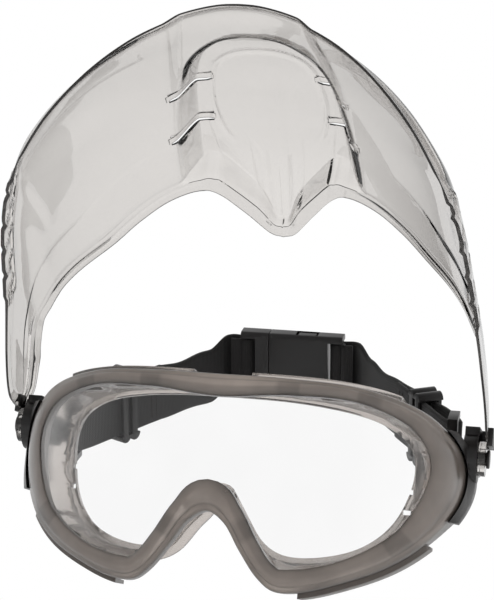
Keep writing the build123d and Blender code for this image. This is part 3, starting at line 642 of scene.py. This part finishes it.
def buildRim():
    sizes = rimSizes
    line = rimLine(sizes["around"])
    inward = inwardNormals(line)
    # (share of the rim's width, millimetres added to it, depth behind the front)
    profile = [(0, 0, 9.0), (0, 0, 6.6), (0, 0, 4.2), (0, 0.15, 3.2), (0, 0.55, 2.5), (0, 1.2, 2.1),
               (0.17, 0.2, 1.9), (0.21, 0.35, 1.75), (0.235, 0.4, 1.15), (0.27, 0.5, 0.75), (0.36, 0.4, 0.35),
               (0.48, 0.2, 0.08), (0.60, 0, 0.0), (0.72, 0, 0.1), (0.84, 0, 0.4), (0.93, -0.1, 0.8),
               (1.0, -0.25, 1.1), (1.0, 0, 1.42), (1.0, -3.1, 1.42), (1.0, -3.1, 3.58), (1.0, 0, 3.58),
               (1.0, 0, 5.2), (1.0, 0, 7.2), (1.0, -0.3, 8.6), (1.0, -1.0, 9.0), (0.5, 0, 9.0)]
    points = []
    for share, added, depth in profile:
        inset = line[:, 2] * share + added
        x = line[:, 0] + inward[:, 0] * inset
        z = line[:, 1] + inward[:, 1] * inset
        points.append(np.stack([x, frontDepth(x, depth), z], 1))
    points = np.stack(points, 1)
    rows, columns = points.shape[:2]
    rim = newPiece("goggleRim", points.reshape(-1, 3) * mm, gridFaces(rows, columns, True, True))
    bm = bmesh.new()
    bm.from_mesh(rim.data)
    bmesh.ops.recalc_face_normals(bm, faces=bm.faces)
    bm.to_mesh(rim.data)
    bm.free()
    # tone by place on the section: a painted highlight along a line on the front face and painted shade
    # toward the outer wall, the inner edge and the groove; darker where the lens's tabs show through the rim,
    # and lighter over the outer side of the brow's middle
    # painted shade and highlight across the section, one value for each ring of the profile
    sectionShadeAndHighlight = np.array([0.62, 0.66, 0.72, 0.82, 0.95, 1.0, 0.98, 0.86, 1.12, 1.16, 1.04, 1.0, 0.98, 0.96,
                          0.90, 0.80, 0.62, 0.5, 0.5, 0.5, 0.5, 0.6, 0.7, 0.7, 0.7, 0.7])
    inner = line[:, :2] + inward * line[:, 2:]
    steps = np.sqrt(((np.roll(inner, -1, 0) - inner)**2).sum(1))
    run = np.concatenate([[0], np.cumsum(steps)[:-1]]) / steps.sum() * 2
    share = np.minimum(run, 2 - run)
    tone = np.ones((rows, 1)) * sectionShadeAndHighlight[None, :]
    for place in sizes["tabPlaces"]:
        patch = smoothStep((sizes["tabWidth"] / 2 - np.abs(share - place) * steps.sum() / 2) / 1.0)
        tone = tone * (1 - 0.3 * patch[:, None] * (np.arange(columns) > 6)[None, :])
    brow = smoothStep((0.2 - share) / 0.08)
    tone = tone * (1 + 0.18 * brow[:, None] * (np.arange(columns) < 12)[None, :])
    layer = rim.data.attributes.new("tone", "FLOAT", "POINT")
    layer.data.foreach_set("value", tone.reshape(-1).astype(np.float32))
    rim.data.materials.append(smokeFrame)
    sharpAbove(rim, 50)
    finish(rim, "goggles", "smoke_frame", "goggle_frame")
    print("rim:", len(rim.data.polygons), "faces")


buildRim()


def buildLens():
    # a curved plate that reaches into the rim's groove
    sizes = rimSizes
    line = rimLine(sizes["around"])
    inward = inwardNormals(line)
    edge = line[:, :2] + inward * (line[:, 2:] - sizes["lensSeat"])
    halfCount = sizes["around"] // 2 + 1
    half = edge[:halfCount]
    widest = int(np.argmax(half[:, 0]))
    topEdge, lowEdge = half[:widest + 1], half[widest:][::-1]
    columns, rows = 90, 26
    xs = np.sin(np.linspace(0, math.pi / 2, columns)) * (half[widest, 0] - 0.02)
    top = np.interp(xs, topEdge[:, 0], topEdge[:, 1])
    low = np.interp(xs, lowEdge[:, 0], lowEdge[:, 1])
    xs, top, low = (np.concatenate([k * v[:0:-1], v]) for k, v in ((-1, xs), (1, top), (1, low)))
    share = np.linspace(0, 1, rows)[None, :]
    z = top[:, None] + (low - top)[:, None] * share
    x = np.repeat(xs[:, None], rows, 1)
    places = np.stack([x, frontDepth(x, sizes["lensSetback"]), z], -1).reshape(-1, 3) * mm
    plate = newPiece("lensPlate", places, gridFaces(len(xs), rows))
    if plate.data.polygons[len(plate.data.polygons) // 2].normal.y > 0:
        plate.data.flip_normals()
    plate.data.materials.append(clearLens)
    thick = plate.modifiers.new("thick", "SOLIDIFY")
    thick.thickness, thick.offset = sizes["lensThick"] * mm, -1.0
    applyModifiers(plate)
    sharpAbove(plate, 40)
    finish(plate, "goggles", "clear_lens", "lens")


buildLens()
print("lens built")


# the strap and its stitches

strapSizes = {"pinY": 14.0, "rise": 27.0, "width": 25.0, "thick": 1.8, "gap": 0.3, "bar": 1.5, "clipX": 79.0,
              "clipBarY": 12.0, "tail": 50.0, "buckleY": 100.0, "leftEnd": 20.0, "rightEnd": 26.0, "sag": 4.5,
              "stitchLong": 1.7, "stitchThick": 0.4, "stitchPitch": 2.3, "stitchRows": (3.0, 6.5)}


def strapRoute(buckleEnd):
    # the webbing's middle line in plan, level, for the left half
    sizes = strapSizes
    lay = sizes["bar"] + sizes["gap"] + sizes["thick"] / 2
    start = Vector((sizes["clipX"], sizes["pinY"] + sizes["clipBarY"]))
    corner = Vector((buckleEnd + 7.0, sizes["pinY"] + sizes["buckleY"] + lay))
    reach = corner - start
    turn = math.asin(lay / reach.length)
    along = Matrix.Rotation(turn, 2) @ reach.normalized()
    out = Vector((along.y, -along.x))
    inner, outer = start - out * lay, start + out * lay
    tailEnd = inner + along * sizes["tail"]
    bar = Vector((buckleEnd - 2.5, sizes["pinY"] + sizes["buckleY"]))
    route = [tailEnd, tailEnd.lerp(inner, 0.5), inner.lerp(tailEnd, 0.04)]
    for degrees in (150, 180, 210):
        route.append(start + (Matrix.Rotation(math.radians(degrees - 180), 2) @ (-along)) * lay)
    route += [outer.lerp(corner, 0.02), outer.lerp(corner, 0.33), outer.lerp(corner, 0.66),
              outer.lerp(corner, 0.93), corner + Vector((-2.0, 0.2)), corner + Vector((-6.0, 0.0))]
    for degrees in (60, 120, 180, 240, 300):
        turn = math.radians(degrees)
        route.append(bar + Vector((math.sin(turn) * -lay, math.cos(turn) * lay)))
    route += [bar + Vector((3.0, -lay)), bar + Vector((7.0, -lay))]
    return [(p.x, p.y) for p in route]


def raisedStrap(points):
    sizes = strapSizes
    turn = math.radians(sizes["rise"])
    x, y, z = points[..., 0], points[..., 1] - sizes["pinY"], points[..., 2]
    return np.stack([x, sizes["pinY"] + y * math.cos(turn) - z * math.sin(turn),
                     y * math.sin(turn) + z * math.cos(turn)], -1) * mm


def buildStrap(name, buckleEnd, sign, phase):
    sizes = strapSizes
    line = smoothLine(strapRoute(buckleEnd), 260)
    run = np.gradient(line, axis=0)
    run /= np.sqrt((run**2).sum(1))[:, None]
    side = np.stack([run[:, 1], -run[:, 0]], 1)
    length = np.concatenate([[0], np.cumsum(np.sqrt(((line[1:] - line[:-1])**2).sum(1)))])
    halfWide, halfThick = sizes["width"] / 2, sizes["thick"] / 2
    # the section: flat faces with slightly swollen, rounded selvedges
    section = []
    across = 14
    for i in range(across + 1):
        t = -1 + 2 * i / across
        section.append((t * (halfWide - 0.7), halfThick * (0.86 + 0.14 * abs(t)**6)))
    section += [(halfWide - 0.15, halfThick * 0.6), (halfWide, 0.0), (halfWide - 0.15, -halfThick * 0.6)]
    for i in range(across + 1):
        t = 1 - 2 * i / across
        section.append((t * (halfWide - 0.7), -halfThick * (0.86 + 0.14 * abs(t)**6)))
    section += [(-halfWide + 0.15, -halfThick * 0.6), (-halfWide, 0.0), (-halfWide + 0.15, halfThick * 0.6)]
    # the edges wander a little along the run, never near the bars
    free = smoothStep((length - sizes["tail"] - 22) / 14) * smoothStep((length[-1] - 36 - length) / 14)
    fromClip = smoothStep((length - sizes["tail"] - 20) / 75)
    sag = sizes["sag"] * fromClip * smoothStep((length[-1] - 31 - length) / 12)
    vertices, uvs = [], []
    for i in range(len(line)):
        slow, fast = math.sin(length[i] / 7.5 + phase), math.sin(length[i] / 3.9 + 2 * phase)
        wander = free[i] * (0.9 * slow + 0.5 * fast)
        for wide, thick in section:
            edge = wander if wide > 0 else wander * 0.7
            place = line[i] + side[i] * (thick + 0.25 * free[i] * math.sin(length[i] / 9 + wide / 4 + phase))
            shrink = 1 - 0.035 * free[i] * (1 + math.sin(length[i] / 5.2 + phase))
            vertices.append((sign * place[0], place[1], wide * shrink + 0.35 * edge - sag[i]))
            uvs.append((length[i] * mm, (wide + (0 if thick >= 0 else 30)) * mm))
    rows, columns = len(line), len(section)
    faces = gridFaces(rows, columns, False, True)
    faces += [tuple(range(columns)), tuple(range((rows - 1) * columns, rows * columns))[::-1]]
    strap = newPiece(name, raisedStrap(np.array(vertices)), faces)
    layer = strap.data.uv_layers.new(name="webbing")
    for loop in strap.data.loops:
        layer.data[loop.index].uv = uvs[loop.vertex_index]
    bm = bmesh.new()
    bm.from_mesh(strap.data)
    bmesh.ops.recalc_face_normals(bm, faces=bm.faces)
    bm.to_mesh(strap.data)
    bm.free()
    strap.data.materials.append(elastic)
    sharpAbove(strap, 60)
    node = name.replace("webbing", "strap").replace("Left", "_left").replace("Right", "_right")
    finish(strap, "strap", "black_elastic", node)
    buildStitches(name.replace("webbing", "stitches"), line, side, length, sign)


def attributeNode(tree, name):
    node = addNode(tree, "GeometryNodeInputNamedAttribute", data_type="FLOAT_VECTOR")
    node.inputs["Name"].default_value = name
    return node.outputs[0]


def stitchTree():
    # one thread stitch on each point, laid along "across" with its depth along "outward"
    tree = bpy.data.node_groups.new("stitches", "GeometryNodeTree")
    tree.interface.new_socket("Points", in_out="INPUT", socket_type="NodeSocketGeometry")
    for label, value in (("Long", 0.002), ("Thick", 0.0004), ("Deep", 0.002)):
        tree.interface.new_socket(label, in_out="INPUT", socket_type="NodeSocketFloat").default_value = value
    tree.interface.new_socket("Seed", in_out="INPUT", socket_type="NodeSocketInt").default_value = 7
    tree.interface.new_socket("Material", in_out="INPUT", socket_type="NodeSocketMaterial")
    tree.interface.new_socket("Stitches", in_out="OUTPUT", socket_type="NodeSocketGeometry")
    start, end = tree.nodes.new("NodeGroupInput"), tree.nodes.new("NodeGroupOutput")
    size = addNode(tree, "ShaderNodeCombineXYZ")
    for label, k in (("Long", 0), ("Thick", 1), ("Deep", 2)):
        link(tree, start.outputs[label], size.inputs[k])
    stitch = addNode(tree, "GeometryNodeMeshCube")
    link(tree, size.outputs[0], stitch.inputs["Size"])
    upright = addNode(tree, "FunctionNodeAlignRotationToVector", axis="Z")
    link(tree, attributeNode(tree, "outward"), upright.inputs["Vector"])
    turned = addNode(tree, "FunctionNodeAlignRotationToVector", axis="X", pivot_axis="Z")
    link(tree, upright.outputs[0], turned.inputs["Rotation"])
    link(tree, attributeNode(tree, "across"), turned.inputs["Vector"])
    vary = addNode(tree, "FunctionNodeRandomValue", data_type="FLOAT")
    vary.inputs[2].default_value, vary.inputs[3].default_value = 0.88, 1.05
    link(tree, start.outputs["Seed"], vary.inputs["Seed"])
    place = addNode(tree, "GeometryNodeInstanceOnPoints")
    link(tree, start.outputs["Points"], place.inputs["Points"])
    link(tree, stitch.outputs["Mesh"], place.inputs["Instance"])
    link(tree, turned.outputs[0], place.inputs["Rotation"])
    link(tree, vary.outputs[1], place.inputs["Scale"])
    real = addNode(tree, "GeometryNodeRealizeInstances")
    link(tree, place.outputs[0], real.inputs[0])
    coat = addNode(tree, "GeometryNodeSetMaterial")
    link(tree, real.outputs[0], coat.inputs["Geometry"])
    link(tree, start.outputs["Material"], coat.inputs["Material"])
    link(tree, coat.outputs[0], end.inputs[0])
    return tree


stitching = stitchTree()


def buildStitches(name, line, side, length, sign):
    # rows of stitches across the end of the doubled-back tail
    sizes = strapSizes
    count = int((sizes["width"] - 3) / sizes["stitchPitch"])
    level, outward = [], []
    for row in sizes["stitchRows"]:
        i = int(np.searchsorted(length, row))
        for k in range(count):
            wide = (k - (count - 1) / 2) * sizes["stitchPitch"]
            level.append((sign * line[i][0], line[i][1], wide))
            outward.append((sign * side[i][0], side[i][1], 0))
    points = newPiece(name, raisedStrap(np.array(level)), [], False)
    turned = raisedStrap(np.array(level) + np.array(outward)) - raisedStrap(np.array(level))
    across = raisedStrap(np.array(level) + np.array([0, 0, 1.0])) - raisedStrap(np.array(level))
    for label, values in (("outward", turned), ("across", across)):
        layer = points.data.attributes.new(label, "FLOAT_VECTOR", "POINT")
        layer.data.foreach_set("vector", (values / mm).reshape(-1).astype(np.float32))
    mod = points.modifiers.new("stitches", "NODES")
    mod.node_group = stitching
    values = {"Long": sizes["stitchLong"] * mm, "Thick": sizes["stitchThick"] * mm,
              "Deep": (sizes["thick"] + 0.4) * mm, "Seed": 7, "Material": stitchThread}
    for socket in stitching.interface.items_tree:
        if socket.in_out == "INPUT" and socket.name in values:
            mod[socket.identifier] = values[socket.name]
    applyModifiers(points)
    finish(points, "strap", "black_elastic")


buildStrap("webbingLeft", strapSizes["leftEnd"], 1, 0.4)
buildStrap("webbingRight", strapSizes["rightEnd"], -1, 1.9)
print("strap built")


# CAD pieces that keep their shape, with softened edges

def softened(node, name, material, slot, body, bevel, angle=35):
    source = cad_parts[node]
    mesh = source.data.copy()
    obj = bpy.data.objects.new(name, mesh)
    scene.collection.objects.link(obj)
    bm = bmesh.new()
    bm.from_mesh(mesh)
    bmesh.ops.remove_doubles(bm, verts=bm.verts, dist=1e-6)
    bmesh.ops.dissolve_limit(bm, angle_limit=math.radians(0.8), verts=bm.verts, edges=bm.edges)
    bm.to_mesh(mesh)
    bm.free()
    mesh.materials.clear()
    mesh.materials.append(material)
    if bevel:
        mod = obj.modifiers.new("soft", "BEVEL")
        mod.width, mod.segments, mod.limit_method = bevel * mm, 2, "ANGLE"
        mod.angle_limit = math.radians(40)
        mod.use_clamp_overlap = True
        applyModifiers(obj)
    sharpAbove(obj, angle)
    finish(obj, body, slot, node)
    return obj


for side in ("left", "right"):
    label = side.capitalize()
    softened("outrigger_" + side, "outrigger" + label, blackPlastic, "black_plastic", "goggles", 0.35)
    softened("shield_pin_" + side, "shieldPin" + label, blackPlastic, "black_plastic", "goggles", 0.3)
    softened("strap_pin_" + side, "strapPin" + label, blackPlastic, "black_plastic", "goggles", 0.3)
    softened("strap_clip_" + side, "strapClip" + label, blackPlastic, "black_plastic", "strap", 0.4)
    softened("slider_" + side, "slider" + label, blackPlastic, "black_plastic", "slider_" + side, 0.4)
    softened("top_vent_cover_" + side, "topCover" + label, clearSeal, "clear_seal", "goggles", 0.25)
    # the bottom vent covers take the darker copy of the smoke frame, painted shade
    softened("bottom_vent_cover_" + side, "bottomCover" + label, shadedSmokeFrame, "smoke_frame", "goggles", 0.25)
softened("buckle_socket", "buckleSocket", blackPlastic, "black_plastic", "strap", 0.5)
softened("buckle_plug", "bucklePlug", blackPlastic, "black_plastic", "strap", 0.5)
softened("buckle_prong_upper", "prongUpper", blackPlastic, "black_plastic", "prong_upper", 0.4)
softened("buckle_prong_lower", "prongLower", blackPlastic, "black_plastic", "prong_lower", 0.4)
softened("face_seal", "faceSeal", clearSeal, "clear_seal", "goggles", 0)
print("hardware softened")


# camera, light and floor

cameraSizes = {"turn": 11.429, "tilt": -9.482, "roll": 5.404, "distance": 800.0, "shift": (0.48, -56.05),
               "lens": 121.194}


def buildCamera():
    sizes = cameraSizes
    a, e, roll = (math.radians(sizes[k]) for k in ("turn", "tilt", "roll"))
    right = Vector((math.cos(a), math.sin(a), 0))
    ahead = Vector((-math.sin(a) * math.cos(e), math.cos(a) * math.cos(e), -math.sin(e)))
    up = right.cross(ahead)
    turnedRight = right * math.cos(roll) + up * math.sin(roll)
    turnedUp = up * math.cos(roll) - right * math.sin(roll)
    place = -turnedRight * sizes["shift"][0] - turnedUp * sizes["shift"][1] - ahead * sizes["distance"]
    data = bpy.data.cameras.new("camera")
    data.lens, data.sensor_width = sizes["lens"], 36.0
    camera = bpy.data.objects.new("camera", data)
    scene.collection.objects.link(camera)
    turn = Matrix((turnedRight, turnedUp, -ahead)).transposed().to_4x4()
    camera.matrix_world = Matrix.Translation(place * mm) @ turn
    scene.camera = camera


def areaLight(name, place, target, size, power, colour=(1, 1, 1)):
    data = bpy.data.lights.new(name, "AREA")
    data.shape, data.size, data.energy, data.color = "DISK", size, power, colour
    lamp = bpy.data.objects.new(name, data)
    scene.collection.objects.link(lamp)
    lamp.visible_glossy = lamp.visible_transmission = False
    lamp.location = place
    lamp.rotation_euler = (Vector(target) - Vector(place)).to_track_quat("-Z", "Y").to_euler()


def buildStudio():
    world = bpy.data.worlds.new("studio")
    scene.world = world
    world.use_nodes = True
    tree = world.node_tree
    background = tree.nodes["Background"]
    path = addNode(tree, "ShaderNodeLightPath")
    # clear sheet and gloss see the white backdrop all round, fading to grey overhead, below and in front
    split = addNode(tree, "ShaderNodeSeparateXYZ")
    link(tree, addNode(tree, "ShaderNodeTexCoord").outputs["Generated"], split.inputs[0])
    back = mapRange(tree, split.outputs[1], -0.5, 0.25, 0.45, 1.0)
    level = mapRange(tree, mathNode(tree, "ABSOLUTE", split.outputs[2]), 0.55, 0.9, 1.0, 0.6)
    around = mathNode(tree, "MULTIPLY", back, level)
    mirrored = mathNode(tree, "MAXIMUM", path.outputs["Is Glossy Ray"], path.outputs["Is Transmission Ray"])
    soft = mapRange(tree, split.outputs[0], -1.0, 1.0, 0.62, 0.38)
    indirect = addNode(tree, "ShaderNodeMix", data_type="FLOAT")
    link(tree, mirrored, indirect.inputs[0])
    link(tree, soft, indirect.inputs[2])
    link(tree, around, indirect.inputs[3])
    strength = mathNode(tree, "MAXIMUM", indirect.outputs[0], path.outputs["Is Camera Ray"])
    background.inputs["Color"].default_value = (1, 1, 1, 1)
    link(tree, strength, background.inputs["Strength"])
    floorSize, floorZ = 3.0, -0.16
    floor = newPiece("floor", [(-floorSize, -floorSize, floorZ), (floorSize, -floorSize, floorZ),
                               (floorSize, floorSize, floorZ), (-floorSize, floorSize, floorZ)],
                     [(0, 1, 2, 3)], False)
    material = bpy.data.materials.new("paleFloor")
    material.use_nodes = True
    shader = material.node_tree.nodes["Principled BSDF"]
    shader.inputs["Roughness"].default_value = 0.9
    place = addNode(material.node_tree, "ShaderNodeTexCoord")
    texture = noiseNode(material.node_tree, place.outputs["Object"], 8.0)
    link(material.node_tree, mixColour(material.node_tree, texture.outputs[0], (0.80, 0.80, 0.80, 1),
                                       (0.84, 0.84, 0.84, 1)), shader.inputs["Base Color"])
    floor.data.materials.append(material)
    areaLight("keyLight", (-0.5, -0.9, 1.1), (0, 0, 0.03), 0.9, 9.0)
    areaLight("fillLight", (1.0, -0.7, 0.4), (0, 0, 0.03), 0.9, 4.0)
    areaLight("backLight", (0.2, 1.2, 0.7), (0, 0, 0.05), 0.9, 5.0)
    scene.view_settings.view_transform = "Standard"


buildCamera()
buildStudio()
